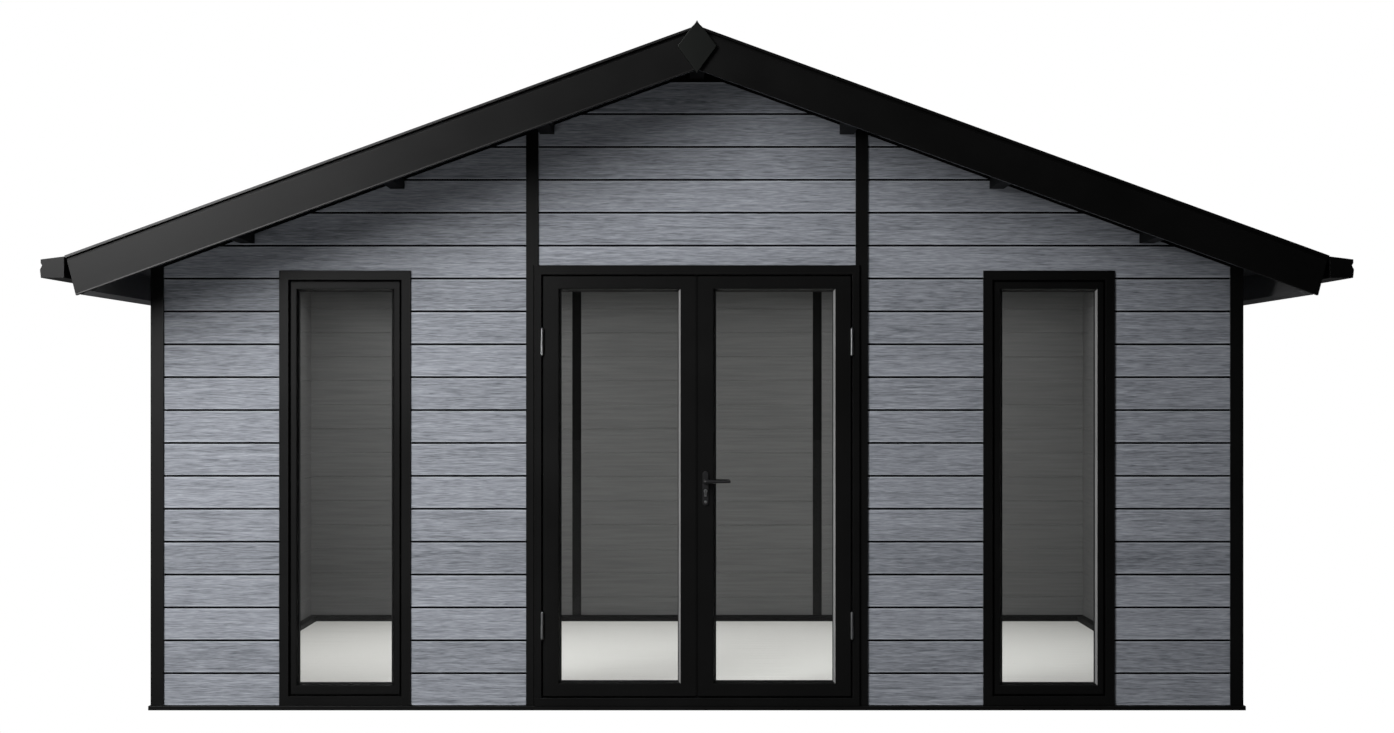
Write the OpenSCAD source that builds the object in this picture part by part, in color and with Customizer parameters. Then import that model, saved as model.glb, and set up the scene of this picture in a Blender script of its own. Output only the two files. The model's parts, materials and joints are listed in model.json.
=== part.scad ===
// Garden office pod: a gabled cabin with a dark metal frame, 150 mm cladding boards,
// two full-height windows and a pair of glazed doors.
// Millimetres, +Z up. The front faces -Y and the origin is the middle of the footprint, on the ground.

/* [Building] */
// Width over the corner posts
building_w = 4980; // [4100:20:7000]
// Depth over the corner posts
building_d = 4000; // [2600:20:7000]
// Height of the roof's top surface above the outer face of a side wall
eave_h = 2147; // [2100:1:2800]
// Pitch of both roof slopes, in degrees
roof_pitch = 20; // [12:1:30]

/* [Base and walls] */
// Height of the base frame and of the floor deck
base_h = 20; // [15:1:60]
// How far the base frame stands proud of the posts
base_proud = 9; // [0:1:30]
// Thickness of a wall, from post face to room
wall_t = 80; // [60:2:140]
// How far the cladding lies behind the post faces
clad_recess = 8; // [2:1:15]
// Face width of a post
post_w = 56; // [40:2:100]
// Height of one cladding board, which sets the ridge filler's foot
board_h = 150; // [100:5:250]

/* [Doors] */
// Clear width between the door jambs
door_clear_w = 1416; // [1200:2:1700]
// Height of the door head's underside
door_head_h = 1984; // [1850:1:2100]
// Face width of the door frame at the jambs
door_frame_w = 32; // [25:1:60]
// Face height of the door head
door_head_w = 43; // [30:1:80]
// Height of the threshold above the base frame
threshold_h = 37; // [20:1:60]
// How far the door frame stands proud of the posts
door_proud = 12; // [6:1:30]
// Thickness of a door leaf
leaf_t = 60; // [44:1:70]
// Face width of a leaf's stiles
leaf_stile = 70; // [60:1:120]
// Face height of a leaf's rails
leaf_rail = 57; // [50:1:120]
// Running gap between a leaf and its frame
leaf_gap = 7; // [5:1:10]
// Gap between the two leaves
meeting_gap = 8; // [6:1:12]

/* [Door ironmongery] */
// Diameter of a hinge knuckle
knuckle_d = 12; // [9:1:16]
// Length of a hinge
hinge_h = 118; // [80:2:140]
// Height of the lower hinges' middle
hinge_low_z = 386; // [250:1:500]
// Height of the upper hinges' middle
hinge_high_z = 1678; // [1500:1:1750]
// Height of the lever's spindle
handle_z = 1042; // [950:1:1150]
// Reach of the lever from its spindle
lever_l = 114; // [90:1:135]
// Diameter of the lever's grip
lever_d = 18; // [14:1:22]

/* [Windows] */
// Width of a window frame
window_w = 600; // [450:5:900]
// Height of a window's head above the ground
window_top = 2003; // [1700:1:2050]
// Face width of a window's fixed frame
window_frame = 43; // [30:1:60]
// Face width of a window's sash at its sides
window_sash = 34; // [25:1:70]
// Face height of a window's sash at its head
window_head = 40; // [25:1:70]
// Face height of a window's sash at its foot
window_foot = 47; // [25:1:90]

/* [Roof] */
// Overhang beyond a side wall, measured level
eave_overhang = 276; // [150:2:400]
// Overhang beyond a gable, to the face of the barge board
gable_overhang = 430; // [200:5:600]
// Thickness of the roof panel
panel_t = 31; // [20:1:60]
// Thickness of the verge trim's edge
verge_t = 16; // [10:1:25]
// Width of the verge trim, seen from above
verge_w = 40; // [30:1:80]
// Thickness of the roof covering
cover_t = 12; // [6:1:14]
// Shadow gap between the verge trim and the barge board
shadow_gap = 13; // [8:1:20]
// Height of the barge board, square to the slope
barge_h = 152; // [120:1:220]
// Thickness of the barge board and of the fascia
barge_t = 25; // [18:1:40]
// Width of a purlin
purlin_w = 66; // [50:2:100]
// Foot of a purlin below the roof's top surface
purlin_drop = 180; // [150:1:185]
// Purlins on each slope
purlin_n = 3; // [2:1:4]
// Distance of the outermost purlin from the wall's outer face
purlin_inset = 440; // [400:5:600]
// Height of the gable trim under the soffit
gable_trim_h = 99; // [60:1:110]
// Face width of the finial
finial_w = 168; // [120:2:240]
// Height of the finial
finial_h = 230; // [190:2:300]
// Thickness of the finial
finial_t = 20; // [10:1:30]

/* [Gutters] */
// Width of a gutter
gutter_w = 106; // [80:1:140]
// Height of a gutter
gutter_h = 94; // [70:1:110]
// Thickness of the gutter's sheet, thickened to model
gutter_t = 3; // [2:1:5]
// Brackets on each gutter
bracket_n = 5; // [3:1:8]

/* [Hidden] */
$fn = 48;

// Plan of the building
half_w = building_w / 2;
half_d = building_d / 2;
room_half_w = half_w - wall_t;
room_half_d = half_d - wall_t;
corner_w = 60;

// Roof: depths square to the slope, below its top surface. Pieces that meet on the
// slope keep a hair's play, as the real ones do
slope_fit = 0.02;
cap_w = 130;
cap_t = verge_t - cover_t;
fascia_t = 47;
finial_rise = 20;
ridge_z = eave_h + half_w * tan(roof_pitch);
soffit_p = verge_t + panel_t;
barge_top_p = verge_t + shadow_gap;
barge_foot_p = barge_top_p + barge_h;
eave_s = (half_w + eave_overhang) / cos(roof_pitch);
roof_half_d = half_d + gable_overhang;
panel_half_d = roof_half_d - barge_t;
soffit_drop = (soffit_p + slope_fit) / cos(roof_pitch);
trim_drop = soffit_drop + gable_trim_h;
notch_over = 1;
purlin_pitch = (half_w - purlin_inset) / purlin_n;
// The lowest joint between boards
first_joint_z = base_h - 3;
trim_proud = 4;

// Doorway: the posts stand just inside the door frame's face
door_frame_half = door_clear_w / 2 + door_frame_w;
post_lap = 17;
post_x = door_frame_half - post_lap + post_w / 2;
post_in = post_x - post_w / 2;
post_out = post_x + post_w / 2;
door_head_top = door_head_h + door_head_w;
threshold_z = base_h + threshold_h;
door_front = half_d + door_proud;
leaf_set_back = 4;
leaf_front = door_front - leaf_set_back;
leaf_back = leaf_front - leaf_t;
leaf_in = meeting_gap / 2;
leaf_out = door_clear_w / 2 - leaf_gap;
leaf_foot = threshold_z + leaf_gap;
leaf_top = door_head_h - leaf_gap;
leaf_taper = 3;
stop_w = 15;
stop_front = leaf_back - leaf_gap;
glass_t = 24;
glass_set = 18;

// Ironmongery
hinge_x = door_clear_w / 2 - leaf_gap / 2;
hinge_stand = 4;
hinge_y = leaf_front + knuckle_d / 2 + hinge_stand;
hinge_gap = 0.5;
hinge_foot_w = knuckle_d / 2 + 1;
handle_x = leaf_in + leaf_stile / 2;
plate_w = 27;
plate_h = 155;
plate_t = 7;
plate_below = 109;
plate_low = handle_z - plate_below;
spindle_d = 10;
spindle_play = 1;
lever_stand = 42;
cylinder_below = 43;
cylinder_z = handle_z - cylinder_below;
cylinder_d = 17;
cylinder_tail = 10;
cylinder_drop = 25;
cylinder_proud = 5;
screw_d = 13;
screw_proud = 2;
screw_below = 93;
screw_z = handle_z - screw_below;

// Windows stand in the middle of the bays between corner posts and gable posts
bay_in = post_out;
bay_out = half_w - corner_w;
window_x = (bay_in + bay_out) / 2;
window_set_back = 12;
sash_t = 60;

// Side walls: two posts on each side
side_post_y = building_d / 6;

// Gutter: its back stands at the roof's edge, a drip's depth below it
gutter_x = half_w + eave_overhang;
gutter_top = ridge_z - gutter_x * tan(roof_pitch) - 4;
gutter_foot = gutter_top - gutter_h;
gutter_fall = 13;
gutter_lip_h = 16;
gutter_lip_in = 3;
gutter_neck_h = 26;
gutter_neck_in = 9;
gutter_belly_h = 36;
gutter_tuck = 4;
bracket_w = 30;
bracket_top_p = verge_t + 10;
bracket_foot_p = barge_foot_p - 60;

// A point on the right slope: s along it from the ridge, p square to it and down
function slope_pt(s, p) = [
    s * cos(roof_pitch) - p * sin(roof_pitch),
    ridge_z - s * sin(roof_pitch) - p * cos(roof_pitch)
];
// Height at x of a surface that lies a level drop below the roof's top
function under_roof(x, drop) = ridge_z - abs(x) * tan(roof_pitch) - drop;
// Middles of the right slope's purlins
function purlin_xs() = [for (i = [1:purlin_n]) i * purlin_pitch];

// An outline in the X-Z plane, made solid from y0 to y1
module across(y0, y1) {
    translate([0, y1, 0]) rotate([90, 0, 0]) linear_extrude(height = y1 - y0) children();
}

module both_sides() {
    children();
    mirror([1, 0, 0]) children();
}

module both_ends() {
    children();
    mirror([0, 1, 0]) children();
}

module block(x0, x1, y0, y1, z0, z1) {
    translate([x0, y0, z0]) cube([x1 - x0, y1 - y0, z1 - z0]);
}

// The point on the ridge line at a depth square to the slopes
function ridge_pt(p) = [0, ridge_z - p / cos(roof_pitch)];
// An outline's right half, closed with its own mirror image
function mirrored(half) = concat(half, [for (i = [len(half) - 1:-1:0]) if (half[i][0] > 0) [-half[i][0], half[i][1]]]);

// A band of the right slope between two depths, from the ridge to s1
module slope_band(p0, p1, s1) {
    polygon([ridge_pt(p0), slope_pt(s1, p0), slope_pt(s1, p1), ridge_pt(p1)]);
}

// The whole gable's outline between two level drops below the roof, and between two X values
module under_slope(x0, x1, z0, drop) {
    polygon([
        [x0, z0], [x1, z0], [x1, under_roof(x1, drop)],
        if (x0 < 0 && x1 > 0) [0, under_roof(0, drop)],
        [x0, under_roof(x0, drop)]
    ]);
}

// A purlin at x, or the ridge beam at 0, from its level foot up to a drop below the roof
module purlin_outline(x, drop) {
    under_slope(x - purlin_w / 2, x + purlin_w / 2, under_roof(x, purlin_drop), drop);
}

// Notches round the purlins and the ridge beam, open at the top
module purlin_notches() {
    for (x = concat([0], purlin_xs(), -purlin_xs())) purlin_outline(x, soffit_drop - notch_over);
}

// A gable's piece of wall or post, notched round the purlins
module gable_piece(x0, x1, z0, y0, y1) {
    across(y0, y1) difference() {
        under_slope(x0, x1, z0, soffit_drop);
        purlin_notches();
    }
}

module base_frame() {
    color("#2b2c2e") difference() {
        block(-half_w - base_proud, half_w + base_proud, -half_d - base_proud, half_d + base_proud, 0, base_h);
        block(-room_half_w, room_half_w, -room_half_d, room_half_d, -1, base_h + 1);
    }
}

module floor_deck() {
    color("#cfccc6") block(-room_half_w, room_half_w, -room_half_d, room_half_d, 0, base_h);
}

module corner_posts() {
    color("#232426") both_ends() both_sides()
        across(room_half_d, half_d) under_slope(half_w - corner_w, half_w, base_h, soffit_drop);
}

module gable_posts() {
    color("#232426") both_ends() both_sides()
        gable_piece(post_in, post_out, base_h, room_half_d, half_d);
}

module side_posts() {
    color("#232426") both_ends() both_sides()
        across(side_post_y - post_w / 2, side_post_y + post_w / 2)
            under_slope(room_half_w, half_w, base_h, soffit_drop);
}

// The bay of a gable wall between a corner post and a gable post
module gable_bay() {
    gable_piece(bay_in, bay_out, base_h, room_half_d, half_d - clad_recess);
}

module front_bay() {
    mirror([0, 1, 0]) difference() {
        gable_bay();
        block(window_x - window_w / 2, window_x + window_w / 2, room_half_d - 1, half_d + 1, base_h - 1, window_top);
    }
}

module front_wall_right() { color("#828892") front_bay(); }

module front_wall_left() { color("#828892") mirror([1, 0, 0]) front_bay(); }

module front_gable_wall() {
    color("#828892") mirror([0, 1, 0])
        gable_piece(-post_in, post_in, door_head_top, room_half_d, half_d - clad_recess);
}

module rear_wall_right() { color("#828892") gable_bay(); }

module rear_wall_left() { color("#828892") mirror([1, 0, 0]) gable_bay(); }

module rear_wall_middle() {
    color("#828892") gable_piece(-post_in, post_in, base_h, room_half_d, half_d - clad_recess);
}

// Three panels between the posts of one side
module side_panels() {
    inner = side_post_y - post_w / 2;
    outer = side_post_y + post_w / 2;
    for (span = [[-room_half_d, -outer], [-inner, inner], [outer, room_half_d]])
        across(span[0], span[1]) under_slope(room_half_w, half_w - clad_recess, base_h, soffit_drop);
}

module right_wall() { color("#828892") side_panels(); }

module left_wall() { color("#828892") mirror([1, 0, 0]) side_panels(); }

// Dark trim on the cladding under the soffit, with a level foot under the ridge
module gable_trims() {
    filler_foot = first_joint_z + floor((ridge_z - trim_drop - first_joint_z) / board_h) * board_h;
    color("#1d1e20") both_ends() across(half_d - clad_recess, half_d + trim_proud) difference() {
        union() {
            both_sides() difference() {
                under_slope(0, bay_out, 0, soffit_drop);
                under_slope(-1, bay_out + 1, -1, trim_drop);
            }
            intersection() {
                under_slope(-post_in, post_in, filler_foot, soffit_drop);
                translate([-post_in, filler_foot]) square([2 * post_in, ridge_z - filler_foot]);
            }
        }
        both_sides() translate([post_in, 0]) square([post_w, ridge_z]);
        purlin_notches();
    }
}

module ridge_beam() {
    color("#1d1e20") across(-panel_half_d, panel_half_d) purlin_outline(0, soffit_drop);
}

module purlins() {
    color("#1d1e20") across(-panel_half_d, panel_half_d)
        for (x = concat(purlin_xs(), -purlin_xs())) purlin_outline(x, soffit_drop);
}

module roof_panel() {
    across(-panel_half_d, panel_half_d) slope_band(verge_t, soffit_p, eave_s - verge_t - slope_fit);
}

module roof_panel_right() { color("#7f8184") roof_panel(); }

module roof_panel_left() { color("#7f8184") mirror([1, 0, 0]) roof_panel(); }

module roof_covering() {
    across(-roof_half_d + verge_w, roof_half_d - verge_w) slope_band(cap_t, verge_t - slope_fit, eave_s);
}

module roof_covering_right() { color("#3b3d40") roof_covering(); }

module roof_covering_left() { color("#3b3d40") mirror([1, 0, 0]) roof_covering(); }

// A folded cap on the covering, between the verge trims
module ridge_cap() {
    cap_foot = cap_t - slope_fit;
    color("#2b2c2e") across(-roof_half_d + verge_w, roof_half_d - verge_w)
        polygon(mirrored([ridge_pt(0), slope_pt(cap_w, 0), slope_pt(cap_w, cap_foot), ridge_pt(cap_foot)]));
}

module barge_boards() {
    both_ends() across(panel_half_d, roof_half_d) slope_band(barge_top_p, barge_foot_p, eave_s - barge_top_p);
}

module barge_boards_right() { color("#26272a") barge_boards(); }

module barge_boards_left() { color("#26272a") mirror([1, 0, 0]) barge_boards(); }

// Trim over the roof's edge, turned down over the barge board's foot end
module verge_trims() {
    turned_in = eave_s - verge_t + slope_fit;
    foot = verge_t - slope_fit;
    color("#333538") both_ends() across(roof_half_d - verge_w, roof_half_d) polygon(mirrored([
        ridge_pt(0), slope_pt(eave_s, 0), slope_pt(eave_s, barge_foot_p),
        slope_pt(turned_in, barge_foot_p), slope_pt(turned_in, foot), ridge_pt(foot)
    ]));
}

// A kite-shaped plate where the barge boards meet
module finials() {
    shoulder = finial_h / 2;
    tip_z = ridge_z + finial_rise;
    color("#222522") both_ends() across(roof_half_d, roof_half_d + finial_t) polygon([
        [0, tip_z], [finial_w / 2, tip_z - shoulder], [0, tip_z - finial_h], [-finial_w / 2, tip_z - shoulder]
    ]);
}

// A board over the roof panel's end, on a packer that runs on behind the barge boards
module eave_fascias() {
    packer_top = soffit_p + slope_fit;
    packer_in = eave_s - fascia_t;
    packer_out = eave_s - verge_t;
    color("#26272a") both_sides() {
        across(-roof_half_d + verge_w, roof_half_d - verge_w) polygon([
            slope_pt(packer_out, verge_t), slope_pt(eave_s, verge_t), slope_pt(eave_s, barge_foot_p),
            slope_pt(packer_in, barge_foot_p), slope_pt(packer_in, packer_top), slope_pt(packer_out, packer_top)
        ]);
        across(-panel_half_d, panel_half_d) polygon([
            slope_pt(packer_in, packer_top), slope_pt(packer_out, packer_top),
            slope_pt(packer_out, barge_foot_p), slope_pt(packer_in, barge_foot_p)
        ]);
    }
}

// The gutter's outside: back, foot, belly, neck and a front lip lower than the back
function gutter_outline() = let(out = gutter_x + gutter_w, lip_top = gutter_top - gutter_fall) [
    [gutter_x, gutter_top], [gutter_x, gutter_foot], [out - gutter_tuck, gutter_foot],
    [out, gutter_foot + gutter_belly_h], [out - gutter_neck_in, lip_top - gutter_neck_h],
    [out - gutter_lip_in, lip_top - gutter_lip_h], [out - gutter_lip_in, lip_top]
];

// An open trough with closed ends
module gutter() {
    mouth_foot = gutter_top - gutter_fall - 2 * gutter_t;
    across(-roof_half_d, roof_half_d) difference() {
        polygon(gutter_outline());
        offset(delta = -gutter_t) polygon(gutter_outline());
        translate([gutter_x + gutter_t, mouth_foot])
            square([gutter_w - gutter_lip_in - 2 * gutter_t, gutter_top - mouth_foot + 1]);
    }
    both_ends() across(roof_half_d - gutter_t, roof_half_d) polygon(gutter_outline());
}

module gutter_right() { color("#2e3033") gutter(); }

module gutter_left() { color("#2e3033") mirror([1, 0, 0]) gutter(); }

// Wedges between the sloping fascia and the upright gutter back
module gutter_brackets() {
    foot = slope_pt(eave_s, bracket_foot_p);
    top = slope_pt(eave_s, bracket_top_p);
    color("#2e3033") both_sides() for (i = [0:bracket_n - 1]) {
        y = -half_d + i * building_d / (bracket_n - 1);
        across(y - bracket_w / 2, y + bracket_w / 2)
            polygon([top, [gutter_x, top[1]], [gutter_x, foot[1]], foot]);
    }
}

// A rectangular ring standing in the X-Z plane
module ring(x0, x1, z0, z1, side, foot, head) {
    difference() {
        translate([x0, z0]) square([x1 - x0, z1 - z0]);
        translate([x0 + side, z0 + foot]) square([x1 - x0 - 2 * side, z1 - z0 - foot - head]);
    }
}

module window_frames() {
    color("#1b1c1e") both_sides() across(-half_d, -room_half_d)
        ring(window_x - window_w / 2, window_x + window_w / 2, base_h, window_top,
             window_frame, window_frame, window_frame);
}

module window_sashes() {
    half = window_w / 2 - window_frame;
    y = -half_d + window_set_back;
    color("#1b1c1e") both_sides() across(y, y + sash_t)
        ring(window_x - half, window_x + half, base_h + window_frame, window_top - window_frame,
             window_sash, window_foot, window_head);
}

module window_panes() {
    half = window_w / 2 - window_frame - window_sash;
    y = -half_d + window_set_back + glass_set;
    foot = base_h + window_frame + window_foot;
    color("#9fb0b8") both_sides()
        block(window_x - half, window_x + half, y, y + glass_t, foot, window_top - window_frame - window_head);
}

// Jambs and head, with a stop behind the leaves
module door_frame() {
    clear = door_clear_w / 2;
    color("#1b1c1e") difference() {
        union() {
            block(-door_frame_half, door_frame_half, -door_front, -half_d, threshold_z, door_head_top);
            block(-post_in, post_in, -half_d, -room_half_d, threshold_z, door_head_top);
        }
        block(-clear, clear, -door_front - 1, -stop_front, threshold_z - 1, door_head_h);
        block(-clear + stop_w, clear - stop_w, -door_front - 1, -room_half_d + 1, threshold_z - 1, door_head_h - stop_w);
    }
}

module door_threshold() {
    color("#1b1c1e") {
        block(-door_frame_half, door_frame_half, -door_front, -half_d, base_h, threshold_z);
        block(-post_in, post_in, -half_d, -room_half_d, base_h, threshold_z);
        block(-door_clear_w / 2 + stop_w, door_clear_w / 2 - stop_w, -stop_front, -room_half_d,
              threshold_z - 1, threshold_z + stop_w);
    }
}

// The right leaf: its meeting edge leans back so that it clears the other leaf as it turns
module leaf() {
    difference() {
        block(leaf_in, leaf_out, -leaf_front, -leaf_back, leaf_foot, leaf_top);
        block(leaf_in + leaf_stile, leaf_out - leaf_stile, -leaf_front - 1, -leaf_back + 1,
              leaf_foot + leaf_rail, leaf_top - leaf_rail);
        translate([0, 0, leaf_foot - 1]) linear_extrude(height = leaf_top - leaf_foot + 2) polygon([
            [leaf_in - 1, -leaf_front], [leaf_in, -leaf_front],
            [leaf_in + leaf_taper, -leaf_back + 1], [leaf_in - 1, -leaf_back + 1]
        ]);
    }
}

module door_leaf_left() { color("#1b1c1e") mirror([1, 0, 0]) leaf(); }

module door_leaf_right() {
    color("#1b1c1e") difference() {
        leaf();
        translate([handle_x, -leaf_front - 1, handle_z]) rotate([-90, 0, 0])
            cylinder(d = spindle_d + 2 * spindle_play, h = leaf_t + 2);
    }
}

module leaf_glass() {
    block(leaf_in + leaf_stile, leaf_out - leaf_stile, -leaf_front + glass_set, -leaf_front + glass_set + glass_t,
          leaf_foot + leaf_rail, leaf_top - leaf_rail);
}

module door_glass_right() { color("#9fb0b8") leaf_glass(); }

module door_glass_left() { color("#9fb0b8") mirror([1, 0, 0]) leaf_glass(); }

// One half of each hinge on the right leaf: a knuckle and the foot that carries it
module hinge_half(z0, z1, foot_x0, foot_x1, foot_y) {
    for (z = [hinge_low_z, hinge_high_z]) translate([0, 0, z]) {
        translate([hinge_x, -hinge_y, z0]) cylinder(d = knuckle_d, h = z1 - z0);
        block(foot_x0, foot_x1, -hinge_y, -foot_y, z0, z1);
    }
}

// The fixed halves, on the door frame
module hinge_knuckles() {
    color("#b9bbbd") both_sides()
        hinge_half(-hinge_h / 2, -hinge_gap, hinge_x, hinge_x + hinge_foot_w, door_front);
}

module leaf_hinges() {
    hinge_half(hinge_gap, hinge_h / 2, hinge_x - knuckle_d / 2, hinge_x, leaf_front);
}

module door_hinges_right() { color("#b9bbbd") leaf_hinges(); }

module door_hinges_left() { color("#b9bbbd") mirror([1, 0, 0]) leaf_hinges(); }

// Long plates on both faces of the right leaf
module handle_plates() {
    color("#202124") difference() {
        union() {
            block(handle_x - plate_w / 2, handle_x + plate_w / 2, -leaf_front - plate_t, -leaf_front,
                  plate_low, plate_low + plate_h);
            block(handle_x - plate_w / 2, handle_x + plate_w / 2, -leaf_back, -leaf_back + plate_t,
                  plate_low, plate_low + plate_h);
        }
        translate([handle_x, -leaf_front - plate_t - 1, handle_z]) rotate([-90, 0, 0])
            cylinder(d = spindle_d + 2 * spindle_play, h = leaf_t + 2 * plate_t + 2);
    }
}

// The lock's face and the fixing screw below it, on the outer plate
module lock_cylinder() {
    y = -leaf_front - plate_t;
    color("#c9cbcd") {
        translate([handle_x, y, cylinder_z]) rotate([90, 0, 0]) cylinder(d = cylinder_d, h = cylinder_proud);
        block(handle_x - cylinder_tail / 2, handle_x + cylinder_tail / 2, y - cylinder_proud, y,
              cylinder_z - cylinder_drop, cylinder_z);
        translate([handle_x, y, screw_z]) rotate([90, 0, 0]) cylinder(d = screw_d, h = screw_proud);
    }
}

// A lever on each face, on one spindle
module handle_lever() {
    color("#2a2b2e") {
        translate([handle_x, -leaf_front - lever_stand, handle_z]) rotate([-90, 0, 0])
            cylinder(d = spindle_d, h = leaf_t + 2 * lever_stand);
        for (y = [-leaf_front - lever_stand, -leaf_back + lever_stand]) translate([handle_x, y, handle_z]) {
            rotate([0, 90, 0]) cylinder(d = lever_d, h = lever_l);
            sphere(d = lever_d);
        }
    }
}

base_frame();
floor_deck();
corner_posts();
gable_posts();
side_posts();
front_wall_left();
front_wall_right();
front_gable_wall();
rear_wall_left();
rear_wall_middle();
rear_wall_right();
left_wall();
right_wall();
gable_trims();
ridge_beam();
purlins();
roof_panel_left();
roof_panel_right();
roof_covering_left();
roof_covering_right();
ridge_cap();
barge_boards_left();
barge_boards_right();
verge_trims();
finials();
eave_fascias();
gutter_left();
gutter_right();
gutter_brackets();
window_frames();
window_sashes();
window_panes();
door_frame();
door_threshold();
hinge_knuckles();
door_leaf_left();
door_glass_left();
door_hinges_left();
door_leaf_right();
door_glass_right();
door_hinges_right();
handle_plates();
lock_cylinder();
handle_lever();
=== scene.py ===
# %% [markdown]
# # A garden office pod
# This lesson dresses the frame of a gabled garden office: board cladding, powder-coated
# aluminium, glazed doors, gutters and felt. The CAD model says where every part is, so each
# place and size here is read from it, and only the surface detail is made in Blender.

# %% Load the frame
import json
import math

import bmesh
import bpy
from mathutils import Matrix, Vector

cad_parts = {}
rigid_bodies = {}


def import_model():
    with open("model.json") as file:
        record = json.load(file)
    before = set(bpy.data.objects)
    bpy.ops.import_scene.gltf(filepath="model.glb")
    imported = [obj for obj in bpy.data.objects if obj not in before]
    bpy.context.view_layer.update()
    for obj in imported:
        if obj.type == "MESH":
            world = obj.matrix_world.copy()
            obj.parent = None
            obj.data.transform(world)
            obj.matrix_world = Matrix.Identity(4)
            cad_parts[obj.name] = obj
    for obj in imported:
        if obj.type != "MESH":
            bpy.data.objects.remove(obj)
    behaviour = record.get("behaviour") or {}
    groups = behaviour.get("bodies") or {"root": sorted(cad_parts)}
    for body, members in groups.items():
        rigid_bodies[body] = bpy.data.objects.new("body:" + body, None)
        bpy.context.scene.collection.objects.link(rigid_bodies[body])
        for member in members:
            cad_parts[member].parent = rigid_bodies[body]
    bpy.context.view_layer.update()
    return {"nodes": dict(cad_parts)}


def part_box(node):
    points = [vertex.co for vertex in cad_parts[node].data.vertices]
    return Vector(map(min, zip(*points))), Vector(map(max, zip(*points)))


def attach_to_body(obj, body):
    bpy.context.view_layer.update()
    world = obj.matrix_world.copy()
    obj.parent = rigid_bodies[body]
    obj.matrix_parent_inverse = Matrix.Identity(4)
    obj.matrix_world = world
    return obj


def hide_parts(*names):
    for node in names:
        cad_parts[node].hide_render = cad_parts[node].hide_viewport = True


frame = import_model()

scene = bpy.context.scene
MM = 0.001
nodes = frame["nodes"]

# %% [markdown]
# ## The camera
# A level camera at eye height keeps the posts upright. A small upward shift of the lens takes
# in the ridge without tilting the camera, the way an architectural photographer works.

# %% Camera
front_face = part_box("corner_posts")[0].y
EYE_HEIGHT = 1.454
STAND_OFF = 10.55
LENS_MM = 59.8
LENS_SHIFT = 0.0176

camera = bpy.data.objects.new("camera", bpy.data.cameras.new("camera"))
scene.collection.objects.link(camera)
camera.location = (0, front_face - STAND_OFF, EYE_HEIGHT)
camera.rotation_euler = (math.radians(90), 0, 0)
camera.data.lens = LENS_MM
camera.data.sensor_width = 36
camera.data.shift_y = LENS_SHIFT
camera.data.clip_end = 200
scene.camera = camera
print("camera at", [round(v, 2) for v in camera.location])

# %% [markdown]
# ## Helpers for nodes and colour
# Shader and geometry trees are both built from nodes, so one small function adds any node with
# its settings and its inputs. A colour is written as the sRGB hex code that a paint chart
# gives, and is turned to the linear light that Blender computes with.

# %% Node and colour helpers
def linear(hex_code):
    shares = [int(hex_code[i:i + 2], 16) / 255 for i in (1, 3, 5)]
    return [c / 12.92 if c <= 0.04045 else ((c + 0.055) / 1.055) ** 2.4 for c in shares] + [1]


def add(tree, kind, settings=None, inputs=None):
    node = tree.nodes.new(kind)
    for name, value in (settings or {}).items():
        setattr(node, name, value)
    for name, value in (inputs or {}).items():
        if isinstance(value, bpy.types.NodeSocket):
            tree.links.new(value, node.inputs[name])
        else:
            node.inputs[name].default_value = value
    return node


def new_material(name):
    material = bpy.data.materials.new(name)
    material.use_nodes = True
    tree = material.node_tree
    tree.nodes.clear()
    output = add(tree, "ShaderNodeOutputMaterial")
    shader = add(tree, "ShaderNodeBsdfPrincipled")
    tree.links.new(shader.outputs[0], output.inputs["Surface"])
    return material, tree, shader


def two_tones(tree, factor, dark, light):
    ramp = add(tree, "ShaderNodeValToRGB", inputs={"Fac": factor})
    ramp.color_ramp.elements[0].color = linear(dark)
    ramp.color_ramp.elements[1].color = linear(light)
    ramp.color_ramp.elements[0].position = 0.3
    ramp.color_ramp.elements[1].position = 0.7
    return ramp.outputs["Color"]


def paint(tree, shader, factor, dark, light):
    tree.links.new(two_tones(tree, factor, dark, light), shader.inputs["Base Color"])


print("linear value of mid grey:", round(linear("#808080")[0], 3))

# %% [markdown]
# ## Powder-coated aluminium
# The posts, window and door profiles, barge boards and gutters are aluminium with a baked
# powder coat. Its surface is satin with a faint orange peel about 1.5 mm across, which is drawn
# at 4 mm so that it shows. Broad, weak changes of tone and gloss stand for dust and handling.
# The same recipe, with other tones and gloss, gives a duller black darkened as painted shade,
# the finials, the handle, the soffit panels and the grey of the painted highlight on the beads.

# %% Powder coats
ORANGE_PEEL = 4 * MM
HANDLING = 350 * MM


def powder_coat(name, dark, light, roughness, shine=0.26):
    material, tree, shader = new_material(name)
    place = add(tree, "ShaderNodeTexCoord").outputs["Object"]
    broad = add(tree, "ShaderNodeTexNoise", inputs={
        "Vector": place, "Scale": 1 / HANDLING, "Detail": 3})
    fine = add(tree, "ShaderNodeTexNoise", inputs={
        "Vector": place, "Scale": 1 / ORANGE_PEEL, "Detail": 1})
    gloss = add(tree, "ShaderNodeMapRange", inputs={
        "Value": broad.outputs["Fac"], "To Min": roughness - 0.05, "To Max": roughness + 0.07})
    bump = add(tree, "ShaderNodeBump", inputs={
        "Height": fine.outputs["Fac"], "Strength": 0.05, "Distance": 0.3 * MM})
    paint(tree, shader, broad.outputs["Fac"], dark, light)
    tree.links.new(gloss.outputs["Result"], shader.inputs["Roughness"])
    tree.links.new(bump.outputs["Normal"], shader.inputs["Normal"])
    shader.inputs["Specular IOR Level"].default_value = shine
    return material


# Posts and base: near black, and the black grid that the pale boards are read against.
frame_coat = powder_coat("powder_coated_aluminium_black", "#060606", "#080808", 0.40)
# Doors and windows: a shade glossier, so that their edges draw fine lines of light.
joinery_coat = powder_coat("powder_coated_joinery_black", "#070707", "#090909", 0.37)
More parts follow.
